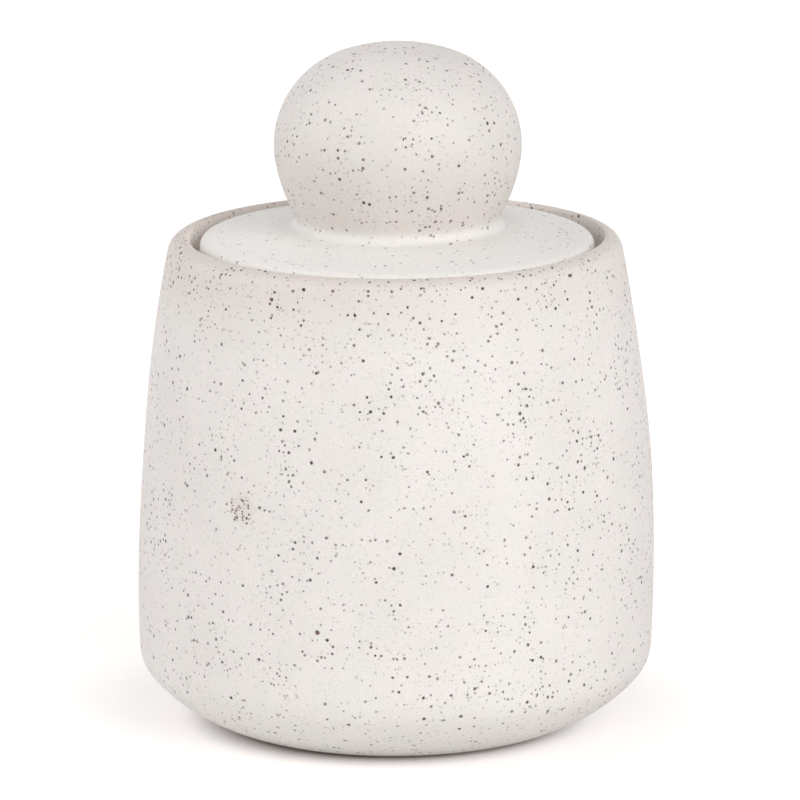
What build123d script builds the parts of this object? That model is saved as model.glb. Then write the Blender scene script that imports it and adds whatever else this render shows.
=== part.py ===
from build123d import *
from math import acos, asin, atan2, cos, degrees, hypot, radians, sin, sqrt
import os

# A stoneware storage jar with an inset lid and a large ball knob. Lengths are in millimetres.
# The origin is the middle of the foot, where the jar stands, and Z points up.
# Every piece is turned about Z, so each section is drawn as radius across and height up.

# Jar, outside
belly_radius = 62.5
belly_height = 36.6
side_bow = 417.0
jar_height = 119.1
heel_height = 18.6
heel_round = 10.1
foot_inset = 23.0
foot_slope = 14.5

# Rim of the jar
lip_outer_round = 4.2
lip_inner_round = 0.8

# Jar, inside and foot
wall = 5.0
floor_thickness = 6.0
floor_corner_round = 8.0
foot_width = 5.0
foot_recess = 1.8
foot_edge_round = 0.6
recess_corner_round = 0.7

# Ledge inside the mouth, which the lid rests on
seat_depth = 6.5
ledge_width = 6.0
ledge_nose = 2.6
ledge_slope = 45.0
ledge_edge_round = 0.9
seat_corner_round = 0.7

# Lid
lid_gap = 2.5
lid_edge_height = 6.5
lid_top_round = 2.2
lid_bottom_round = 1.0
dome_radius = 277.0
lid_thickness = 5.0
flange_gap = 1.2
flange_width = 4.0
flange_depth = 7.0
flange_edge_round = 1.4
flange_root_round = 2.5
vent_radius = 2.0

# Ball knob, with the height of its middle above the top of the lid's dome
knob_radius = 29.75
knob_middle_height = 18.55
knob_crown_round = 42.6
knob_side_round = 23.5
knob_under_round = 40.0
knob_under_turn = 10.0
knob_wall = 4.0

# Fillet of the collar that the knob is joined to
collar_fillet = 2.0

# How near to its place an edge counts as found, as a share of the wall
near_share = 0.001


# Circles and arcs in a section

def on_circle(centre, radius, angle):
    """The point of a circle at an angle, in degrees from the outward direction."""
    return (centre[0] + radius * cos(radians(angle)), centre[1] + radius * sin(radians(angle)))


def heading(start, end):
    """The angle, in degrees, of the way from one point to another."""
    return degrees(atan2(end[1] - start[1], end[0] - start[0]))


def outer_crossing(first, first_radius, second, second_radius):
    """The point further from the axis of the two where two circles cross, the second above the first."""
    apart = hypot(second[0] - first[0], second[1] - first[1])
    along = (apart ** 2 + first_radius ** 2 - second_radius ** 2) / (2 * apart)
    return on_circle(first, first_radius, heading(first, second) - degrees(acos(along / first_radius)))


def arc(centre, radius, start, end):
    """An arc about a centre, from one angle to another, both in degrees."""
    return CenterArc(centre, radius, start, end - start)


def rings(part, radius, height):
    """The circular edges of a turned part that lie at a radius and a height."""
    near = wall * near_share

    def lies_there(edge):
        return abs(edge.radius - radius) < near and abs(edge.center().Z - height) < near

    return part.edges().filter_by(GeomType.CIRCLE).filter_by(lies_there)


# Outside of the jar: a long bowed side, a heel and an under arc, each tangent to the next

bow_centre = (belly_radius - side_bow, belly_height)
heel_turn = degrees(asin((heel_height - belly_height) / side_bow))
heel_centre = on_circle(bow_centre, side_bow - heel_round, heel_turn)
foot_radius = belly_radius - foot_inset
foot_point = (foot_radius, 0)

# The under arc leaves the foot at the foot's slope. Its radius is the one at which it is tangent to the heel
foot_turn = foot_slope - 90
to_centre = on_circle((0, 0), 1, foot_turn + 180)
from_heel = (foot_radius - heel_centre[0], -heel_centre[1])
lean = to_centre[0] * from_heel[0] + to_centre[1] * from_heel[1]
apart = hypot(from_heel[0], from_heel[1])
under_round = (apart ** 2 - heel_round ** 2) / (-2 * (lean + heel_round))
under_centre = on_circle(foot_point, under_round, foot_turn + 180)
under_turn = heading(under_centre, heel_centre)

# Rim: the outer round is tangent to the side, and both rounds meet at the top of the rim
lip_centre_height = jar_height - lip_outer_round
lip_turn = degrees(asin((lip_centre_height - belly_height) / (side_bow - lip_outer_round)))
lip_centre = on_circle(bow_centre, side_bow - lip_outer_round, lip_turn)
rim_radius = lip_centre[0]
mouth_radius = rim_radius - lip_inner_round

# Ledge: its underside slopes down to the wall
seat_height = jar_height - seat_depth
ledge_radius = mouth_radius - ledge_width
nose_height = seat_height - ledge_nose

# Inside: the wall keeps its thickness from the ledge round the heel to the floor
inner_bow = side_bow - wall
inner_under = under_round - wall
floor_height = foot_recess + floor_thickness
floor_turn = -degrees(asin((under_centre[1] - floor_height) / inner_under))
floor_radius = on_circle(under_centre, inner_under, floor_turn)[0]

# The slope of the ledge meets the inner wall where the line from the nose crosses the inner bow
nose_way = radians(-ledge_slope)
from_bow = (ledge_radius - bow_centre[0], nose_height - bow_centre[1])
half_b = from_bow[0] * cos(nose_way) + from_bow[1] * sin(nose_way)
slope_length = sqrt(half_b ** 2 - from_bow[0] ** 2 - from_bow[1] ** 2 + inner_bow ** 2) - half_b
slope_end = (ledge_radius + slope_length * cos(nose_way), nose_height + slope_length * sin(nose_way))
slope_turn = heading(bow_centre, slope_end)

with BuildPart() as jar_body:
    with BuildSketch(Plane.XZ):
        with BuildLine():
            arc(under_centre, under_round, foot_turn, under_turn)
            arc(heel_centre, heel_round, under_turn, heel_turn)
            arc(bow_centre, side_bow, heel_turn, lip_turn)
            arc(lip_centre, lip_outer_round, lip_turn, 90)
            lip_inner_centre = (rim_radius, jar_height - lip_inner_round)
            arc(lip_inner_centre, lip_inner_round, 90, 180)
            Polyline(
                on_circle(lip_inner_centre, lip_inner_round, 180),
                (mouth_radius, seat_height),
                (ledge_radius, seat_height),
                (ledge_radius, nose_height),
                slope_end,
            )
            arc(bow_centre, inner_bow, slope_turn, heel_turn)
            arc(heel_centre, heel_round - wall, heel_turn, under_turn)
            arc(under_centre, inner_under, under_turn, floor_turn)
            Polyline(
                (floor_radius, floor_height),
                (0, floor_height),
                (0, foot_recess),
                (foot_radius - foot_width, foot_recess),
                (foot_radius - foot_width, 0),
                foot_point,
            )
        make_face()
    revolve(axis=Axis.Z)
    fillet(rings(jar_body, floor_radius, floor_height), floor_corner_round)
    fillet(rings(jar_body, mouth_radius, seat_height), seat_corner_round)
    fillet(rings(jar_body, ledge_radius, seat_height), ledge_edge_round)
    fillet(rings(jar_body, ledge_radius, nose_height), ledge_edge_round)
    fillet(rings(jar_body, foot_radius - foot_width, foot_recess), recess_corner_round)
    fillet(rings(jar_body, foot_radius - foot_width, 0), foot_edge_round)
    fillet(rings(jar_body, foot_radius, 0), foot_edge_round)

# Lid: a shallow dome with a rounded edge, and below it a flange that keeps it in the middle

lid_radius = mouth_radius - lid_gap
edge_centre = (lid_radius - lid_top_round, seat_height + lid_edge_height - lid_top_round)
edge_to_axis = dome_radius - lid_top_round
dome_centre = (0, edge_centre[1] - sqrt(edge_to_axis ** 2 - edge_centre[0] ** 2))
dome_edge_turn = heading(dome_centre, edge_centre)
dome_top = dome_centre[1] + dome_radius

flange_radius = ledge_radius - flange_gap
flange_inner_radius = flange_radius - flange_width
flange_foot_height = seat_height - flange_depth
underside_radius = dome_radius - lid_thickness
underside_turn = 90 - degrees(asin(flange_inner_radius / underside_radius))
underside_edge = on_circle(dome_centre, underside_radius, underside_turn)

# Knob: crown, side and under arcs, each tangent to the next
knob_middle = dome_top + knob_middle_height
side_centre = (knob_radius - knob_side_round, knob_middle)
crown_drop = sqrt((knob_crown_round - knob_side_round) ** 2 - side_centre[0] ** 2)
crown_centre = (0, knob_middle - crown_drop)
crown_turn = heading(crown_centre, side_centre)
knob_top = crown_centre[1] + knob_crown_round
knob_under_centre = on_circle(side_centre, knob_side_round - knob_under_round, -knob_under_turn)

# Collar: its fillet is tangent to the dome and to the knob's under arc, and the knob starts where it ends
fillet_centre = outer_crossing(
    dome_centre, dome_radius + collar_fillet, knob_under_centre, knob_under_round + collar_fillet
)
fillet_turn = heading(dome_centre, fillet_centre)
neck_turn = heading(knob_under_centre, fillet_centre)
neck_radius, collar_top = on_circle(knob_under_centre, knob_under_round, neck_turn)

# Hollow of the knob: it is open at the neck, where the vent in the lid leads into it
inner_under_knob = knob_under_round - knob_wall
neck_inner_turn = -degrees(asin((knob_under_centre[1] - collar_top) / inner_under_knob))
neck_inner_radius = on_circle(knob_under_centre, inner_under_knob, neck_inner_turn)[0]
collar_root_turn = 90 - degrees(asin(neck_inner_radius / dome_radius))

with BuildPart() as lid:
    with BuildSketch(Plane.XZ):
        with BuildLine():
            Line((0, dome_top - lid_thickness), (0, dome_top))
            arc(dome_centre, dome_radius, 90, collar_root_turn)
            Polyline(
                on_circle(dome_centre, dome_radius, collar_root_turn),
                (neck_inner_radius, collar_top),
                (neck_radius, collar_top),
            )
            arc(fillet_centre, collar_fillet, neck_turn + 180, fillet_turn + 180)
            arc(dome_centre, dome_radius, fillet_turn, dome_edge_turn)
            arc(edge_centre, lid_top_round, dome_edge_turn, 0)
            Polyline(
                (lid_radius, edge_centre[1]),
                (lid_radius, seat_height),
                (flange_radius, seat_height),
                (flange_radius, flange_foot_height),
                (flange_inner_radius, flange_foot_height),
                underside_edge,
            )
            arc(dome_centre, underside_radius, underside_turn, 90)
        make_face()
    revolve(axis=Axis.Z)
    fillet(rings(lid, lid_radius, seat_height), lid_bottom_round)
    fillet(rings(lid, flange_radius, flange_foot_height), flange_edge_round)
    fillet(rings(lid, flange_inner_radius, flange_foot_height), flange_edge_round)
    fillet(rings(lid, *underside_edge), flange_root_round)
    with Locations((0, 0, dome_top)):
        Hole(vent_radius)

with BuildPart() as knob:
    with BuildSketch(Plane.XZ):
        with BuildLine():
            arc(knob_under_centre, knob_under_round, neck_turn, -knob_under_turn)
            arc(side_centre, knob_side_round, -knob_under_turn, crown_turn)
            arc(crown_centre, knob_crown_round, crown_turn, 90)
            Line((0, knob_top), (0, knob_top - knob_wall))
            arc(crown_centre, knob_crown_round - knob_wall, 90, crown_turn)
            arc(side_centre, knob_side_round - knob_wall, crown_turn, -knob_under_turn)
            arc(knob_under_centre, inner_under_knob, -knob_under_turn, neck_inner_turn)
            Line((neck_inner_radius, collar_top), (neck_radius, collar_top))
        make_face()
    revolve(axis=Axis.Z)

# One file for each piece

os.makedirs("parts", exist_ok=True)
jar_body.part.label = "jar_body"
lid.part.label = "lid"
knob.part.label = "ball_knob"
export_step(jar_body.part, "parts/jar_body.step")
export_step(lid.part, "parts/lid.step")
export_step(knob.part, "parts/ball_knob.step")

print("total height", round(knob_top, 2))
print("mouth radius", round(mouth_radius, 2), "lid radius", round(lid_radius, 2))
print("seat height", round(seat_height, 2), "collar top", round(collar_top, 2))
print("under arc radius", round(under_round, 2))
print("neck radius", round(neck_radius, 2), "inner floor radius", round(floor_radius, 2))
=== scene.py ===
from math import acos, asin, atan2, cos, degrees, hypot, pi, radians, sin, sqrt

import bpy
import numpy as np
from mathutils import Matrix, Vector


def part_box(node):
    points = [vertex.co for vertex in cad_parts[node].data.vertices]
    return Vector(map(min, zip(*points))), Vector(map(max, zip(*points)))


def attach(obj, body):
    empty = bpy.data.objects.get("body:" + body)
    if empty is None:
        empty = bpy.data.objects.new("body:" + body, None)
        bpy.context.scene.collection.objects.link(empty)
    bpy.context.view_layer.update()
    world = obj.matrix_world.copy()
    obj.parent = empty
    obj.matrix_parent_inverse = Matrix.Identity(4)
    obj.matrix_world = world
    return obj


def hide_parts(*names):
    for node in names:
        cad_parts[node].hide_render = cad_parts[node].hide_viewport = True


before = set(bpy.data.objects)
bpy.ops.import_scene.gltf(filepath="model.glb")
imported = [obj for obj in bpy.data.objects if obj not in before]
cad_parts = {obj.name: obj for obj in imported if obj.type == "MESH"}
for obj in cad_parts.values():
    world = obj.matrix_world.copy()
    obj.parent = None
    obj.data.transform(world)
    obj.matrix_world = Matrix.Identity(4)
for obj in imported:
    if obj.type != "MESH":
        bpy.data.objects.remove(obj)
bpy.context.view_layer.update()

# A speckled stoneware jar with an inset lid and a ball knob, as turned surfaces round Z, in metres

MM = 0.001


def extent(node):
    """The radius, lowest height and highest height of a turned piece of the frame."""
    low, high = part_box(node)
    return max(high.x, high.y, -low.x, -low.y), low.z, high.z


# Sizes that the frame gives
belly_radius, _, jar_height = extent("jar_body")
lid_radius, flange_foot_height, collar_top = extent("lid")
knob_radius, _, knob_top = extent("ball_knob")

# Sizes of the jar's section
belly_height = 36.6 * MM
side_bow = 417 * MM
heel_height = 18.6 * MM
heel_round = 10.1 * MM
foot_inset = 23 * MM
foot_slope = 14.5
lip_outer_round = 4.2 * MM
lip_inner_round = 0.8 * MM
wall = 5 * MM
floor_thickness = 6 * MM
foot_width = 5 * MM
foot_recess = 1.8 * MM
seat_depth = 6.5 * MM
ledge_width = 6 * MM
ledge_nose = 2.6 * MM
ledge_slope = 45

# Sizes of the lid's and the knob's sections
lid_edge_height = 6.5 * MM
lid_top_round = 2.2 * MM
dome_radius = 277 * MM
lid_thickness = 5 * MM
flange_gap = 1.2 * MM
flange_width = 4 * MM
vent_radius = 2 * MM
knob_middle_height = 18.55 * MM
knob_crown_round = 42.6 * MM
knob_side_round = 23.5 * MM
knob_under_round = 40 * MM
knob_under_turn = 10
knob_wall = 4 * MM
collar_fillet = 2 * MM

# How finely the surfaces are drawn: the step of the fine path and the gap below which two of its
# points are one, then the longest step and the degrees of turn between the rings that are kept
FINE_STEP = 0.1 * MM
HAIR = FINE_STEP / 100
FEWEST_ARC_POINTS = 3
LONGEST_STEP = 2 * MM
TURN_STEP = 7
SEGMENTS = 320

# How far to each side the glaze rounds a corner off
GLAZE_SOFTNESS = 1.1 * MM

# How far the lid and the knob lap over each other inside their joint, which the glaze hides
LID_LAP = 1.5 * MM
KNOB_LAP = 2.6 * MM

# Hand-made unevenness: the jar's middle bulges to the right and its heel leans to the left, the
# mouth, the lid and the knob sit a little to the right, and the rim rises at the right, between two
# cosines of the angle from there. The ovals and the triangle twist by some radians over the height,
# and the lid's oval is turned by one
BULGE = 0.4 * MM
BULGE_HEIGHT = 66 * MM
BULGE_REACH = 20 * MM
HEEL_LEAN = 0.25 * MM
LEAN_FROM = 12 * MM
LEAN_TO = 48 * MM
MOUTH_SHIFT = 0.45 * MM
LID_SHIFT = 0.5 * MM
KNOB_SHIFT = 0.73 * MM
SHIFT_WIDTH = 15 * MM
RIM_LIFT = 0.3 * MM
RIM_LIFT_HEIGHT = 24 * MM
RIM_LIFT_COSINES = (0.5, 1)
JAR_OVAL = 0.09 * MM
JAR_OVAL_TWIST = 3
JAR_TRIANGLE = 0.05 * MM
JAR_TRIANGLE_TWIST = 5
LID_OVAL = 0.06 * MM
LID_OVAL_TURN = 1
KNOB_OVAL = 0.08 * MM
KNOB_OVAL_TWIST = 2


# Sections, as radius and height

def on_circle(centre, radius, angle):
    """The point of a circle at an angle in degrees: centre plus radius times cosine and sine."""
    return (centre[0] + radius * cos(radians(angle)), centre[1] + radius * sin(radians(angle)))


def heading(start, end):
    """The angle in degrees of the way from one point to another."""
    return degrees(atan2(end[1] - start[1], end[0] - start[0]))


def outer_crossing(first, first_radius, second, second_radius):
    """The point further from the axis of the two where two circles cross, by the law of cosines.
    The second circle is above the first."""
    apart = hypot(second[0] - first[0], second[1] - first[1])
    along = (apart ** 2 + first_radius ** 2 - second_radius ** 2) / (2 * apart)
    turn = heading(first, second) - degrees(acos(along / first_radius))
    return on_circle(first, first_radius, turn)


def arc(centre, radius, start, end):
    """Points of an arc at even angles: centre plus radius times cosine and sine."""
    count = max(FEWEST_ARC_POINTS, int(abs(radians(end - start)) * radius / FINE_STEP) + 2)
    angles = np.radians(np.linspace(start, end, count))
    across, up = radius * np.cos(angles), radius * np.sin(angles)
    return np.stack([centre[0] + across, centre[1] + up], axis=1)


def section(*pieces):
    """One path through arcs and single points, with points closer than a hair left out."""
    path = np.concatenate([np.atleast_2d(np.array(piece, float)) for piece in pieces])
    apart = np.hypot(*np.diff(path, axis=0).T)
    return path[np.concatenate([[True], apart > HAIR])]


def evenly(path, step):
    """The path again with points an even step apart, by interpolation over its length."""
    length = np.concatenate([[0], np.cumsum(np.hypot(*np.diff(path, axis=0).T))])
    places = np.linspace(0, length[-1], int(length[-1] / step) + 2)
    return np.stack([np.interp(places, length, path[:, k]) for k in (0, 1)], axis=1)


def softened(path, closed):
    """Corners rounded as glaze rounds them: each point becomes a weighted mean of its neighbours.
    At the axis the path goes on as its own mirror image, so that it stays level there."""
    path = evenly(path, FINE_STEP)
    reach = int(GLAZE_SOFTNESS / FINE_STEP)
    weights = np.hanning(2 * reach + 3)[1:-1]
    weights /= weights.sum()
    mirror = np.array([-1, 1])
    before = path[-reach - 1:-1] if closed else path[reach:0:-1] * mirror
    after = path[1:reach + 1] if closed else path[-2:-reach - 2:-1] * mirror
    longer = np.concatenate([before, path, after])
    return np.stack([np.convolve(longer[:, k], weights, "valid") for k in (0, 1)], axis=1)


def thinned(path):
    """Points where the path has run or turned far enough: even steps of the sum of both."""
    way = np.diff(path, axis=0)
    length = np.hypot(*way.T)
    angle = np.unwrap(np.arctan2(way[:, 1], way[:, 0]))
    turn = np.abs(np.degrees(np.diff(angle, prepend=angle[0])))
    spent = np.concatenate([[0], np.cumsum(length / LONGEST_STEP + turn / TURN_STEP)])
    places = np.linspace(0, spent[-1], int(spent[-1]) + 2)
    return np.stack([np.interp(places, spent, path[:, k]) for k in (0, 1)], axis=1)


# Turned surfaces

def turned(name, path, shape, closed=False):
    """A surface of revolution: each point of the path at radius r and height z becomes a ring
    of points (r cos a, r sin a, z), which the shape function then moves by hand-made unevenness.
    An open path starts and ends on the axis, where a single point closes the surface."""
    rings = thinned(softened(path, closed))
    rings = rings[:-1] if closed else rings[1:-1]
    angles = np.linspace(0, 2 * pi, SEGMENTS, endpoint=False)
    radius, around = np.meshgrid(rings[:, 0], angles, indexing="ij")
    height = np.repeat(rings[:, 1:], SEGMENTS, axis=1)
    radius, height, aside = shape(radius, around, height)
    points = np.stack([radius * np.cos(around) + aside, radius * np.sin(around), height], axis=-1)
    points = points.reshape(-1, 3)
    count = len(rings)
    along = np.arange(count if closed else count - 1)[:, None] * SEGMENTS
    after = (along + SEGMENTS) % (count * SEGMENTS)
    here = np.arange(SEGMENTS)[None, :]
    following = (here + 1) % SEGMENTS
    quads = np.stack([along + here, along + following, after + following, after + here], axis=-1)
    faces = quads.reshape(-1, 4).tolist()
    if not closed:
        ends = [points[:SEGMENTS].mean(axis=0), points[-SEGMENTS:].mean(axis=0)]
        ends[0][2], ends[1][2] = path[0, 1], path[-1, 1]
        first, last = len(points), len(points) + 1
        points = np.concatenate([points, ends])
        top = (count - 1) * SEGMENTS
        for start, step in zip(here[0].tolist(), following[0].tolist()):
            faces.append((first, step, start))
            faces.append((top + start, top + step, last))
    mesh = bpy.data.meshes.new(name)
    mesh.from_pydata(points.tolist(), [], faces)
    mesh.polygons.foreach_set("use_smooth", np.ones(len(mesh.polygons), bool))
    mesh.update()
    piece = bpy.data.objects.new(name, mesh)
    bpy.context.scene.collection.objects.link(piece)
    return piece


# Hand-made unevenness

def rise(values, low, high):
    """A smooth step from 0 at low to 1 at high: three times the square less twice the cube."""
    share = np.clip((values - low) / (high - low), 0, 1)
    return share * share * (3 - 2 * share)


def thrown(radius, around, height):
    """The jar's unevenness. Sideways: a bell curve over the height, a lean of the heel and a shift
    of the mouth's inside. Outward: an oval and a triangle that twist with the height. Up: a lift of
    the rim's right."""
    share = height / jar_height
    bulge = BULGE * np.exp(-((height - BULGE_HEIGHT) / BULGE_REACH) ** 2)
    lean = HEEL_LEAN * (rise(height, LEAN_FROM, LEAN_TO) - 1)
    inward = rise(rim_radius - radius, 0, lip_inner_round)
    mouth = MOUTH_SHIFT * inward * rise(height, inner_wall_top, nose_height)
    oval = JAR_OVAL * np.cos(2 * around - JAR_OVAL_TWIST * share)
    oval = oval + JAR_TRIANGLE * np.cos(3 * around + JAR_TRIANGLE_TWIST * share)
    near_rim = rise(height, jar_height - RIM_LIFT_HEIGHT, jar_height)
    lift = RIM_LIFT * rise(np.cos(around), *RIM_LIFT_COSINES) * near_rim
    outward = rise(radius, 0, foot_radius)
    return radius + oval * outward, height + lift * outward, bulge + lean + mouth


def pressed(radius, around, height):
    """The lid's unevenness. Outward: an oval that grows towards the edge. Sideways: a shift that
    grows from the lid's own at the edge to the knob's in the middle."""
    oval = LID_OVAL * np.cos(2 * around + LID_OVAL_TURN) * rise(radius, 0, lid_radius)
    aside = LID_SHIFT + (KNOB_SHIFT - LID_SHIFT) * rise(lid_radius - radius, 0, SHIFT_WIDTH)
    return radius + oval, height, aside


def cast(radius, around, height):
    """The knob's unevenness. Outward: an oval that twists with the height and ends, as half a sine
    wave, at the collar and at the top. Sideways: one shift."""
    share = np.clip((height - collar_top) / (knob_top - collar_top), 0, 1)
    oval = KNOB_OVAL * np.cos(2 * around + KNOB_OVAL_TWIST * share) * np.sin(pi * share)
    return radius + oval, height, KNOB_SHIFT + 0 * radius


# The jar's section: the bow through the belly, the heel inside it, and the under arc whose radius
# makes it tangent to the heel and lets it reach the foot with the foot's slope

bow_centre = (belly_radius - side_bow, belly_height)
foot_radius = belly_radius - foot_inset
heel_turn = degrees(asin((heel_height - belly_height) / side_bow))
heel_centre = on_circle(bow_centre, side_bow - heel_round, heel_turn)
foot_turn = foot_slope - 90
to_centre = on_circle((0, 0), 1, foot_turn + 180)
from_heel = (foot_radius - heel_centre[0], -heel_centre[1])
heel_along = to_centre[0] * from_heel[0] + to_centre[1] * from_heel[1]
heel_square = from_heel[0] ** 2 + from_heel[1] ** 2
under_round = (heel_square - heel_round ** 2) / (-2 * (heel_along + heel_round))
under_centre = on_circle((foot_radius, 0), under_round, foot_turn + 180)
under_turn = heading(under_centre, heel_centre)

# The rim, tangent to the bow, and the ledge below it
lip_bow = side_bow - lip_outer_round
lip_turn = degrees(asin((jar_height - lip_outer_round - belly_height) / lip_bow))
lip_centre = on_circle(bow_centre, lip_bow, lip_turn)
lip_inner_centre = (lip_centre[0], jar_height - lip_inner_round)
rim_radius = lip_centre[0]
mouth_radius = rim_radius - lip_inner_round
seat_height = jar_height - seat_depth
ledge_radius = mouth_radius - ledge_width
nose_height = seat_height - ledge_nose

# The inside, at the wall's thickness, and the slope under the ledge: its length is the root of a
# quadratic, which puts its end on the inner bow
inner_bow = side_bow - wall
inner_under = under_round - wall
floor_height = foot_recess + floor_thickness
floor_turn = -degrees(asin((under_centre[1] - floor_height) / inner_under))

slope_way = radians(-ledge_slope)
from_bow = (ledge_radius - bow_centre[0], nose_height - bow_centre[1])
half_b = from_bow[0] * cos(slope_way) + from_bow[1] * sin(slope_way)
slope_length = sqrt(half_b ** 2 - from_bow[0] ** 2 - from_bow[1] ** 2 + inner_bow ** 2) - half_b
slope_end = (
    ledge_radius + slope_length * cos(slope_way),
    nose_height + slope_length * sin(slope_way),
)
slope_turn = heading(bow_centre, slope_end)
inner_wall_top = slope_end[1]

jar_path = section(
    (0, foot_recess),
    (foot_radius - foot_width, foot_recess),
    (foot_radius - foot_width, 0),
    arc(under_centre, under_round, foot_turn, under_turn),
    arc(heel_centre, heel_round, under_turn, heel_turn),
    arc(bow_centre, side_bow, heel_turn, lip_turn),
    arc(lip_centre, lip_outer_round, lip_turn, 90),
    arc(lip_inner_centre, lip_inner_round, 90, 180),
    (mouth_radius, seat_height),
    (ledge_radius, seat_height),
    (ledge_radius, nose_height),
    arc(bow_centre, inner_bow, slope_turn, heel_turn),
    arc(heel_centre, heel_round - wall, heel_turn, under_turn),
    arc(under_centre, inner_under, under_turn, floor_turn),
    (0, floor_height),
)

# The lid's section, a closed path round the vent

edge_centre = (lid_radius - lid_top_round, seat_height + lid_edge_height - lid_top_round)
dome_centre = (0, edge_centre[1] - sqrt((dome_radius - lid_top_round) ** 2 - edge_centre[0] ** 2))
dome_edge_turn = heading(dome_centre, edge_centre)
flange_radius = ledge_radius - flange_gap
flange_inner_radius = flange_radius - flange_width
underside_radius = dome_radius - lid_thickness
underside_turn = 90 - degrees(asin(flange_inner_radius / underside_radius))
vent_under_turn = 90 - degrees(asin(vent_radius / underside_radius))
vent_turn = 90 - degrees(asin(vent_radius / dome_radius))

# The knob's section, and the collar's fillet, tangent to the dome and to the knob's under arc. The
# knob's surface goes on along the fillet before it dips in. The lid's rises into the knob's wall
side_centre = (knob_radius - knob_side_round, dome_centre[1] + dome_radius + knob_middle_height)
crown_drop = sqrt((knob_crown_round - knob_side_round) ** 2 - side_centre[0] ** 2)
crown_centre = (0, side_centre[1] - crown_drop)
crown_turn = heading(crown_centre, side_centre)
knob_under_centre = on_circle(side_centre, knob_side_round - knob_under_round, -knob_under_turn)
fillet_centre = outer_crossing(
    dome_centre, dome_radius + collar_fillet, knob_under_centre, knob_under_round + collar_fillet
)
fillet_turn = heading(dome_centre, fillet_centre)
neck_turn = heading(knob_under_centre, fillet_centre)
neck_radius = on_circle(knob_under_centre, knob_under_round, neck_turn)[0]
lap_turn = neck_turn + 180 + degrees(KNOB_LAP / collar_fillet)
neck_inner_round = knob_under_round - knob_wall
neck_inner_turn = -degrees(asin((knob_under_centre[1] - collar_top) / neck_inner_round))
neck_inner_radius = on_circle(knob_under_centre, neck_inner_round, neck_inner_turn)[0]
collar_root_turn = 90 - degrees(asin(neck_inner_radius / dome_radius))

lid_path = section(
    arc(dome_centre, underside_radius, vent_under_turn, underside_turn),
    (flange_inner_radius, flange_foot_height),
    (flange_radius, flange_foot_height),
    (flange_radius, seat_height),
    (lid_radius, seat_height),
    arc(edge_centre, lid_top_round, 0, dome_edge_turn),
    arc(dome_centre, dome_radius, dome_edge_turn, fillet_turn),
    arc(fillet_centre, collar_fillet, fillet_turn + 180, neck_turn + 180),
    (neck_radius, collar_top + LID_LAP),
    (neck_inner_radius, collar_top),
    arc(dome_centre, dome_radius, collar_root_turn, vent_turn),
    on_circle(dome_centre, underside_radius, vent_under_turn),
)

knob_path = section(
    arc(crown_centre, knob_crown_round - knob_wall, 90, crown_turn),
    arc(side_centre, knob_side_round - knob_wall, crown_turn, -knob_under_turn),
    arc(knob_under_centre, neck_inner_round, -knob_under_turn, neck_inner_turn),
    arc(fillet_centre, collar_fillet, lap_turn, neck_turn + 180),
    arc(knob_under_centre, knob_under_round, neck_turn, -knob_under_turn),
    arc(side_centre, knob_side_round, -knob_under_turn, crown_turn),
    arc(crown_centre, knob_crown_round, crown_turn, 90),
)

jar = turned("speckled_jar", jar_path, thrown)
lid = turned("speckled_lid", lid_path, pressed, closed=True)
knob = turned("speckled_knob", knob_path, cast)


# Materials

class Varying:
    """A number or colour that varies over a surface. Arithmetic on it adds Math nodes."""

    def __init__(self, finish, socket):
        self.finish = finish
        self.socket = socket

    def output(self, name):
        """Another output of the same node."""
        return Varying(self.finish, self.socket.node.outputs[name])

    def math(self, operation, *values):
        """A Math node of an operation on these values."""
        return self.finish.node("ShaderNodeMath", {"operation": operation}, *values)

    def __add__(self, other):
        return self.math("ADD", self, other)

    def __sub__(self, other):
        return self.math("SUBTRACT", self, other)

    def __rsub__(self, other):
        return self.math("SUBTRACT", other, self)

    def __mul__(self, other):
        return self.math("MULTIPLY", self, other)

    def __truediv__(self, other):
        return self.math("DIVIDE", self, other)

    def __abs__(self):
        return self.math("ABSOLUTE", self)

    __radd__ = __add__
    __rmul__ = __mul__


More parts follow.
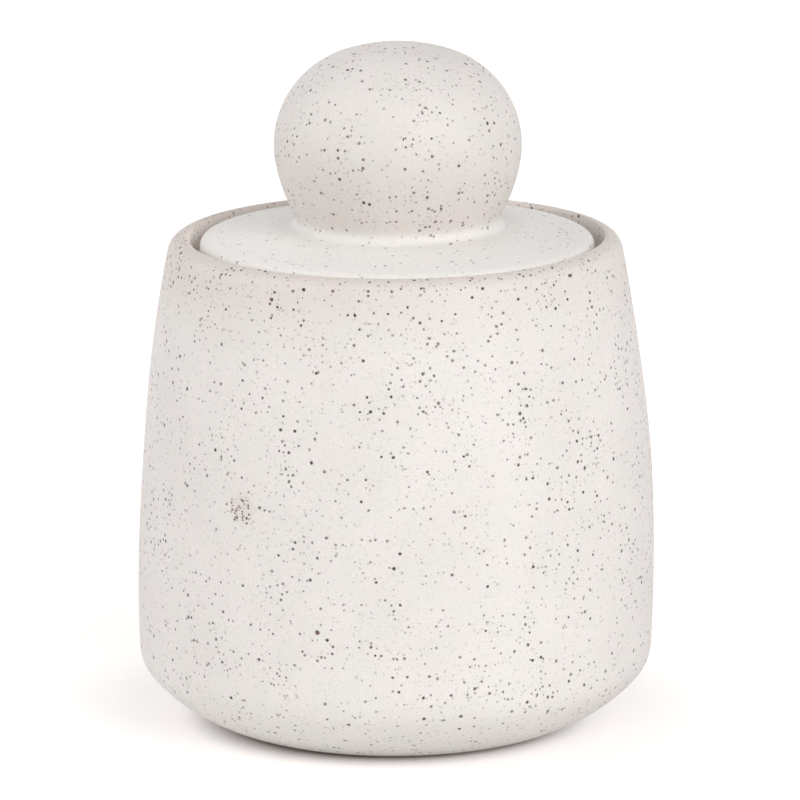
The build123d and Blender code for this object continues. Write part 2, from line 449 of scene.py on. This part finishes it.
class Finish:
    """The nodes of a material or of the world, made one by one."""

    def __init__(self, owner):
        owner.use_nodes = True
        self.owner = owner
        self.tree = owner.node_tree
        self.tree.nodes.clear()

    def node(self, kind, settings, *values, **named):
        """A node of a kind, with its settings, then the values or links of its sockets in order
        or by name. It gives back its first output that is in use as a varying value."""
        made = self.tree.nodes.new(kind)
        for key, value in settings.items():
            setattr(made, key, value)
        sockets = [socket for socket in made.inputs if socket.enabled]
        pairs = list(zip(sockets, values))
        for key, value in named.items():
            name = key.replace("_", " ")
            pairs.append((next(socket for socket in sockets if socket.name == name), value))
        for socket, value in pairs:
            if isinstance(value, Varying):
                self.tree.links.new(value.socket, socket)
            else:
                socket.default_value = value
        outputs = [socket for socket in made.outputs if socket.enabled]
        return Varying(self, outputs[0]) if outputs else None

    def place(self):
        """The place on the piece, which is the place in the frame."""
        return self.node("ShaderNodeTexCoord", {}).output("Object")

    def height(self, place):
        """The height of a place."""
        return self.node("ShaderNodeSeparateXYZ", {}, place).output("Z")

    def aside(self, place):
        """How far to the right a place is."""
        return self.node("ShaderNodeSeparateXYZ", {}, place).output("X")

    def radius(self, place):
        """The distance of a place from the axis: the length of its x and y."""
        level = self.node("ShaderNodeVectorMath", {"operation": "MULTIPLY"}, place, (1, 1, 0))
        return self.node("ShaderNodeVectorMath", {"operation": "LENGTH"}, level)

    def noise(self, place, size, detail=2, roughness=0.5):
        """Cloudy noise from 0 to 1, with patches of about a size in metres."""
        return self.node(
            "ShaderNodeTexNoise", {},
            Vector=place, Scale=1 / size, Detail=detail, Roughness=roughness
        )

    def step(self, value, low, high):
        """A smooth step from 0 at low to 1 at high, which may run backwards."""
        settings = {"interpolation_type": "SMOOTHSTEP"}
        return self.node("ShaderNodeMapRange", settings, value, low, high, 0.0, 1.0)

    def mix(self, factor, first, second):
        """Two colours mixed by a factor."""
        return self.node("ShaderNodeMix", {"data_type": "RGBA"}, factor, first, second)

    def scaled(self, vector, factor):
        """A vector or colour times a factor."""
        return self.node("ShaderNodeVectorMath", {"operation": "SCALE"}, vector, Scale=factor)

    def moved(self, place, way):
        """A place moved by a way."""
        return self.node("ShaderNodeVectorMath", {"operation": "ADD"}, place, way)


def colour(red, green, blue):
    """A colour written as screen values from 0 to 255, as linear light."""
    shares = [value / 255 for value in (red, green, blue)]
    linear = [s / 12.92 if s <= 0.04045 else ((s + 0.055) / 1.055) ** 2.4 for s in shares]
    return (*linear, 1.0)


WHITE = (1.0, 1.0, 1.0, 1.0)
GLAZE_PINK = colour(240, 232, 229)
GLAZE_GREEN = colour(236, 233, 228)
GLAZE_GREY = colour(227, 221, 217)
GLAZE_COOL = colour(237, 235, 232)
# The clay's colour where the glaze is thinner, which near the rim and on the knob also serves as
# painted shade
CLAY_BLUSH_AND_SHADE = colour(218, 206, 198)
BARE_CLAY = colour(186, 166, 148)
IRON_DARK = colour(52, 37, 29)
IRON_BROWN = colour(100, 70, 56)
IRON_FAINT = colour(130, 114, 104)
RUST = colour(82, 45, 28)
RUST_PALE = colour(116, 74, 48)

# Patches in the glaze: their sizes, the detail of their noise, where it turns from one side to the
# other, and their shares
FINER_DETAIL = 3
NOISE_MIDDLE = 0.5
CROWD_SIZE = 11 * MM
CROWD_TURN = (0.3, 0.7)
CROWD_LEAST = 0.35
CROWD_MOST = 1.65
CLOUD_SIZE = 6.5 * MM
CLOUD_ROUGHNESS = 0.55
CLOUD_TURN = (0.35, 0.65)
DRIFT_SIZE = 19 * MM
DRIFT_TURN = (0.3, 0.7)
DRIFT_SHARE = 0.35
GRAIN_SIZE = 0.45 * MM
GRAIN_ROUGHNESS = 0.6
GRAIN_TURN = (0.45, 0.8)
GRAIN_SHARE = 0.18

# The glaze's skin: its roughness and how it changes, and its ripples, in which the specks are dips
GLAZE_ROUGHNESS = 0.44
ROUGH_SIZE = 3 * MM
ROUGH_CHANGE = 0.12
SPECK_ROUGHNESS = 0.1
BARE_ROUGHNESS = 0.35
RIPPLE_SIZE = 2.5 * MM
SPECK_DIP = 0.3
BUMP_HEIGHT = 0.05 * MM
BUMP_STRENGTH = 0.35

# Specks that melted through the glaze. Each line has the size of the cells that hold one speck at
# most, the largest radius, the share of cells with a speck, a shift that makes its places its own,
# the cover of the deepest specks, and its two colours. The last line is the few spots of rust
SPECK_SIZES = (
    (1.75 * MM, 0.6 * MM, 0.3, 0.31, 1.0, IRON_DARK, IRON_BROWN),
    (1.3 * MM, 0.52 * MM, 0.22, 0.77, 0.78, IRON_DARK, IRON_BROWN),
    (1.1 * MM, 0.48 * MM, 0.24, 1.13, 0.36, IRON_BROWN, IRON_FAINT),
    (0.9 * MM, 0.4 * MM, 0.24, 1.71, 0.18, IRON_BROWN, IRON_FAINT),
    (6.0 * MM, 0.6 * MM, 0.1, 2.3, 0.85, RUST, RUST_PALE),
)

# A stain at the left of the jar and two rust marks, the upper one double. Each has the degrees
# round from the front, the height and the reach, and its full strength within a share of the reach.
# In the stain the clay tints the glaze, and there are flecks, with numbers as in a line above
STAIN = (-36.0, 63.6 * MM, 4.8 * MM)
STAIN_FLECKS = (0.85 * MM, 0.52 * MM, 0.72, 3.1, 1.0, RUST, RUST_PALE)
STAIN_TINT = 0.16
MARKS = (
    (-31.5, 113.6 * MM, 0.67 * MM),
    (-31.9, 112.5 * MM, 0.47 * MM),
    (-17.2, 36 * MM, 0.8 * MM),
)
MARK_COVER = 0.95
FULL_SHARE = 0.5

# A speck's shape and tone: the shares of the largest radius that the smallest has, of its radius
# that its full colour has, and of the darkness that the palest has, where its tone turns from dark
# to light, how its line's shift goes along x, y and z, and how far its outline is bent
SMALLEST_SPECK_SHARE = 0.5
SPECK_CORE_SHARE = 0.5
PALEST_SPECK_SHARE = 0.75
SPECK_TONE_TURN = (0.5, 0.0)
SPECK_SHIFT_WAY = (1, 2, 3)
SPECK_BEND = 0.35 * MM
SPECK_BEND_SIZE = 0.5 * MM
SPECK_BEND_DETAIL = 1

# Where the glaze is thinner and the clay's colour comes through, which also serves as painted
# shade:
# towards the rim, more so at the left, away from the lamps at the right, and most of all on the
# rim's top; on the top of the inner wall at the left it is painted shade alone. Near the rim there
# are more and darker specks, and the inner wall is painted lighter, as painted light
RIM_BLUSH_AND_SHADE_SHARE = 0.36
LEFT_BLUSH_AND_SHADE_SHARE = 0.6
LEFT_SHADE_TURN = 30 * MM
BLUSH_REACH = 22 * MM
BLUSH_UNEVEN = 8 * MM
BLUSH_SIZE = 30 * MM
RIM_TOP_BLUSH_AND_SHADE_SHARE = 0.6
LEFT_TOP_BLUSH_AND_SHADE_SHARE = 0.75
RIM_TOP_REACH = 1.8 * MM
RIM_CROWDING = 0.35
RIM_STRENGTH = 0.15
INNER_WALL_PAINTED_LIGHT = 0.18

# The lid has fewer and fainter specks than the jar, and its glaze is cooler, and painted light
# makes it lighter towards its edge. The knob's is darker, as painted shade, and shows more of the
# clay towards its underside, as a pinker tint and as painted shade
LID_CROWDING = 0.45
LID_SPECK_STRENGTH = 0.75
LID_PAINTED_LIGHT = 1.09
LID_COOL = 0.65
COLLAR_PAINTED_SHADE = 0.99
COLLAR_REACH = 9 * MM
KNOB_PAINTED_SHADE = 0.96
KNOB_CROWDING = 1.05
KNOB_STRENGTH = 1.0
KNOB_BLUSH_AND_SHADE_SHARE = 0.3
KNOB_CHANGE_FROM = -2.5 * MM
KNOB_CHANGE_TO = 2 * MM

# How near to the table and to the seat the clay begins to be bare, and where it is bare altogether
BARE_FROM = 0.9 * MM
BARE_TO = 0.5 * MM


def near_side(finish, place, turn, height, reach):
    """How near a place is to a point of the jar's bowed side: a smooth step of the distance, from 0
    at the reach to 1 at a share of it."""
    radius = bow_centre[0] + sqrt(side_bow ** 2 - (height - belly_height) ** 2)
    point = (radius * sin(radians(turn)), -radius * cos(radians(turn)), height)
    apart = finish.node("ShaderNodeVectorMath", {"operation": "DISTANCE"}, place, point)
    return finish.step(apart, reach, reach * FULL_SHARE)


def speckles(finish, place, crowd, cell, radius, share, shift):
    """Round specks: the distance to the nearest scattered point, against a radius drawn for it.
    Gives how much of the glaze they cover, and a tone drawn for each speck."""
    moved = finish.moved(place, [shift * way for way in SPECK_SHIFT_WAY])
    settings = {"voronoi_dimensions": "3D", "feature": "F1"}
    distance = finish.node("ShaderNodeTexVoronoi", settings, Vector=moved, Scale=1 / cell)
    drawn = finish.node("ShaderNodeSeparateColor", {}, distance.output("Color"))
    size, tone, luck = drawn, drawn.output("Green"), drawn.output("Blue")
    reach = radius / cell * (SMALLEST_SPECK_SHARE + (1 - SMALLEST_SPECK_SHARE) * size)
    there = luck.math("LESS_THAN", luck, share * crowd)
    cover = finish.step(distance / reach, 1.0, SPECK_CORE_SHARE) * there
    return cover, tone


def glazed(finish, place, blush_and_shade, bare, crowding, strength, shade, cool=0.0, stained=False):
    """Satin off-white glaze over iron-bearing clay: soft pink and green mottling, specks that
    melted through it in several sizes and strengths, and a slightly uneven skin. Blush and shade is
    where the clay's colour comes through thinner glaze, together with painted shade, bare is where
    there is no glaze, crowding is the share of specks that are there, strength is how dark they
    are, shade scales the glaze's colour as painted light and painted shade, cool is how cool its
    white is, and stained says whether it has the stain and the marks."""
    crowd = finish.step(finish.noise(place, CROWD_SIZE, FINER_DETAIL), *CROWD_TURN)
    crowd = crowding * (CROWD_LEAST + (CROWD_MOST - CROWD_LEAST) * crowd)
    cloud = finish.noise(place, CLOUD_SIZE, FINER_DETAIL, CLOUD_ROUGHNESS)
    drift = finish.noise(place, DRIFT_SIZE)
    grain = finish.noise(place, GRAIN_SIZE, roughness=GRAIN_ROUGHNESS)
    base = finish.mix(finish.step(cloud, *CLOUD_TURN), GLAZE_GREEN, GLAZE_PINK)
    base = finish.mix(DRIFT_SHARE * finish.step(drift, *DRIFT_TURN), base, GLAZE_GREY)
    base = finish.mix(cool, base, GLAZE_COOL)
    base = finish.mix(GRAIN_SHARE * finish.step(grain, *GRAIN_TURN), base, IRON_FAINT)
    base = finish.scaled(finish.mix(blush_and_shade, base, CLAY_BLUSH_AND_SHADE), shade)
    base = finish.mix(bare, base, BARE_CLAY)
    bend = finish.noise(place, SPECK_BEND_SIZE, SPECK_BEND_DETAIL)
    bent = finish.moved(place, finish.scaled(bend.output("Color"), SPECK_BEND))
    raised = 0
    layers = [(crowd, *size) for size in SPECK_SIZES]
    if stained:
        near_stain = near_side(finish, bent, *STAIN)
        base = finish.mix(STAIN_TINT * near_stain, base, BARE_CLAY)
        layers.append((near_stain, *STAIN_FLECKS))
        for mark in MARKS:
            base = finish.mix(MARK_COVER * near_side(finish, bent, *mark), base, RUST)
    for crowded, cell, radius, share, shift, deepest, dark, light in layers:
        cover, tone = speckles(finish, bent, crowded, cell, radius, share, shift)
        cover = cover * strength * deepest * (PALEST_SPECK_SHARE + (1 - PALEST_SPECK_SHARE) * tone)
        base = finish.mix(cover, base, finish.mix(finish.step(tone, *SPECK_TONE_TURN), dark, light))
        raised = cover + raised
    rough = GLAZE_ROUGHNESS + ROUGH_CHANGE * finish.noise(place, ROUGH_SIZE)
    rough = rough + SPECK_ROUGHNESS * raised + BARE_ROUGHNESS * bare
    ripple = finish.noise(place, RIPPLE_SIZE, FINER_DETAIL) - SPECK_DIP * raised
    bump = finish.node(
        "ShaderNodeBump", {}, Strength=BUMP_STRENGTH, Distance=BUMP_HEIGHT, Height=ripple
    )
    shader = finish.node(
        "ShaderNodeBsdfPrincipled", {}, Base_Color=base, Roughness=rough, Normal=bump
    )
    finish.node("ShaderNodeOutputMaterial", {}, shader)
    return finish.owner


def seat_bare(finish, height):
    """Where the lid and the ledge touch, both are wiped clean of glaze: near the seat's height."""
    return finish.step(abs(height - seat_height), BARE_FROM, BARE_TO)


def jar_glaze():
    """The jar's glaze: thinner towards the rim, in uneven drifts, with painted shade there too,
    more at the left and on the rim's top, painted light on the mouth's inner wall, and none on the
    foot and the seat."""
    finish = Finish(bpy.data.materials.new("jar_glaze"))
    place = finish.place()
    height = finish.height(place)
    uneven = BLUSH_UNEVEN * (finish.noise(place, BLUSH_SIZE) - NOISE_MIDDLE)
    radius = finish.radius(place)
    outside = finish.step(radius, mouth_radius, rim_radius)
    near_rim = finish.step(height + uneven, jar_height - BLUSH_REACH, jar_height)
    rim_top = finish.step(height, jar_height - RIM_TOP_REACH, jar_height)
    # Painted shade: the clay's colour darkens the rim more at the left, and alone darkens the inner
    # wall's top at the left
    left = finish.step(finish.aside(place), LEFT_SHADE_TURN, -LEFT_SHADE_TURN)
    blush_and_shade = (RIM_BLUSH_AND_SHADE_SHARE + (LEFT_BLUSH_AND_SHADE_SHARE - RIM_BLUSH_AND_SHADE_SHARE) * left) * near_rim * outside
    top_blush_and_shade = RIM_TOP_BLUSH_AND_SHADE_SHARE + (LEFT_TOP_BLUSH_AND_SHADE_SHARE - RIM_TOP_BLUSH_AND_SHADE_SHARE) * left
    top_blush_and_shade = left + (top_blush_and_shade - left) * outside
    blush_and_shade = blush_and_shade + (top_blush_and_shade - blush_and_shade) * rim_top
    # Painted light: the mouth's inner wall near the rim is made lighter
    shade = 1 + INNER_WALL_PAINTED_LIGHT * (1 - outside) * near_rim
    inside = finish.step(radius, mouth_radius, lid_radius)
    bare = finish.step(height, BARE_FROM, BARE_TO) + inside * seat_bare(finish, height)
    crowding = 1 + RIM_CROWDING * near_rim
    strength = 1 + RIM_STRENGTH * near_rim
    return glazed(finish, place, blush_and_shade, bare, crowding, strength, shade, stained=True)


def lid_glaze():
    """The glaze of the lid and its knob, which changes from one to the other on the collar, with
    painted light towards the lid's edge and painted shade on the knob, most on its underside.
    """
    finish = Finish(bpy.data.materials.new("lid_glaze"))
    place = finish.place()
    height = finish.height(place)
    knob_part = finish.step(height, collar_top + KNOB_CHANGE_FROM, collar_top + KNOB_CHANGE_TO)
    crowding = LID_CROWDING + (KNOB_CROWDING - LID_CROWDING) * knob_part
    strength = LID_SPECK_STRENGTH + (KNOB_STRENGTH - LID_SPECK_STRENGTH) * knob_part
    radius = finish.radius(place)
    outward = finish.step(radius, neck_radius, neck_radius + COLLAR_REACH)
    # Painted light and shade: the lid is lighter outward from the collar, and the knob is darker
    shade = COLLAR_PAINTED_SHADE + (LID_PAINTED_LIGHT - COLLAR_PAINTED_SHADE) * outward
    shade = shade + (KNOB_PAINTED_SHADE - shade) * knob_part
    # The clay's colour towards the knob's underside: a pinker tint and painted shade
    blush_and_shade = KNOB_BLUSH_AND_SHADE_SHARE * knob_part * finish.step(height, knob_top, collar_top)
    cool = LID_COOL - LID_COOL * knob_part
    bare = seat_bare(finish, height) * finish.step(radius, flange_radius - BARE_TO, flange_radius)
    return glazed(finish, place, blush_and_shade, bare, crowding, strength, shade, cool)


jar_material, lid_material = jar_glaze(), lid_glaze()
for piece, material, node, body in (
    (jar, jar_material, "jar_body", "jar"),
    (lid, lid_material, "lid", "lid_with_knob"),
    (knob, lid_material, "ball_knob", "lid_with_knob"),
):
    piece.data.materials.append(material)
    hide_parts(node)
    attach(piece, body)


# Floor, light and camera

FLOOR_HALF = 3.0

# What the camera sees of the floor: a warm, darker colour, which tints its shadow, and a glow of
# its own, painted light that lightens the shadow. The glow stops by the foot, over a wider strip at
# the left, so that the shadow shows in full there, and it grows further away, where it paints out
# the lamps' shadow
FLOOR_SEEN = (0.8, 0.755, 0.735, 1.0)
FLOOR_GLOW = 0.42
GLOW_GAP = 1 * MM
GLOW_REACH = 12 * MM
GLOW_SHIFT = 2.5 * MM
FAR_GLOW = 0.12
FAR_FROM = 62 * MM
FAR_TO = 92 * MM
WORLD_LIGHT = 0.4

# Wide soft lamps: the direction round from the front and up, and the spread, in degrees, and the
# strength
LAMPS = (
    ("key_right", 40, 25, 30, 0.89),
    ("soft_front", 25, 35, 70, 0.8),
    ("soft_left", -90, 20, 70, 1.16),
)


def stage_floor():
    """A white floor. Seen by the camera, part of its white is its own, so that the shadow stays
    light."""
    mesh = bpy.data.meshes.new("floor")
    square = ((-1, -1), (1, -1), (1, 1), (-1, 1))
    mesh.from_pydata([(x * FLOOR_HALF, y * FLOOR_HALF, 0) for x, y in square], [], [(0, 1, 2, 3)])
    floor = bpy.data.objects.new("floor", mesh)
    bpy.context.scene.collection.objects.link(floor)
    finish = Finish(bpy.data.materials.new("white_floor"))
    seen = finish.node("ShaderNodeLightPath", {})
    radius = finish.radius(finish.moved(finish.place(), (GLOW_SHIFT, 0, 0)))
    away = FLOOR_GLOW * finish.step(radius, foot_radius - GLOW_GAP, foot_radius + GLOW_REACH)
    away = away + FAR_GLOW * finish.step(radius, FAR_FROM, FAR_TO)
    tone = finish.mix(seen, WHITE, FLOOR_SEEN)
    glow = finish.scaled(WHITE[:3], away * seen)
    shader = finish.node(
        "ShaderNodeBsdfPrincipled", {}, Base_Color=tone, Roughness=1.0, Specular_IOR_Level=0.0,
        Emission_Color=glow, Emission_Strength=1.0
    )
    finish.node("ShaderNodeOutputMaterial", {}, shader)
    floor.data.materials.append(finish.owner)


def light_up():
    """A white surrounding for the camera and for reflections, a faint one for light, and the
    lamps."""
    finish = Finish(bpy.data.worlds.new("studio"))
    bpy.context.scene.world = finish.owner
    seen = finish.node("ShaderNodeLightPath", {})
    seen = seen.math("MAXIMUM", seen, seen.output("Is Glossy Ray"))
    lit = finish.node("ShaderNodeBackground", {}, Color=WHITE, Strength=WORLD_LIGHT)
    shown = finish.node("ShaderNodeBackground", {}, Color=WHITE, Strength=1.0)
    mixed = finish.node("ShaderNodeMixShader", {}, seen, lit, shown)
    finish.node("ShaderNodeOutputWorld", {}, mixed)
    for name, round_degrees, up_degrees, spread, strength in LAMPS:
        sun = bpy.data.lights.new(name, "SUN")
        sun.energy = strength
        sun.angle = radians(spread)
        lamp = bpy.data.objects.new(name, sun)
        turn, up = radians(round_degrees), radians(up_degrees)
        towards = Vector((sin(turn) * cos(up), -cos(turn) * cos(up), sin(up)))
        lamp.rotation_euler = towards.to_track_quat("Z", "Y").to_euler()
        bpy.context.scene.collection.objects.link(lamp)


# The camera, fitted to the photograph: distance and aim in metres, angles in degrees, the focal
# length in the picture's pixels, and the sensor's width in millimetres
CAMERA_DISTANCE = 1.881
CAMERA_PITCH = 12.714
CAMERA_AIM = Vector((1.057 * MM, 0, 78.445 * MM))
CAMERA_ROLL = -0.185
FOCAL_PIXELS = 7779
PICTURE_PIXELS = 800
SENSOR_WIDTH = 36
FARTHEST = 20


def place_camera():
    """A long lens from the front, looking down a little, with the photograph's framing."""
    data = bpy.data.cameras.new("view")
    data.sensor_width = SENSOR_WIDTH
    data.lens = FOCAL_PIXELS * SENSOR_WIDTH / PICTURE_PIXELS
    data.clip_end = FARTHEST
    camera = bpy.data.objects.new("view", data)
    pitch = radians(CAMERA_PITCH)
    away = Vector((0, -cos(pitch), sin(pitch)))
    upright = away.to_track_quat("Z", "Y").to_matrix()
    camera.location = CAMERA_AIM + CAMERA_DISTANCE * away
    camera.rotation_euler = (upright @ Matrix.Rotation(radians(CAMERA_ROLL), 3, "Z")).to_euler()
    bpy.context.scene.collection.objects.link(camera)
    bpy.context.scene.camera = camera


stage_floor()
light_up()
place_camera()
bpy.context.scene.view_settings.view_transform = "Standard"
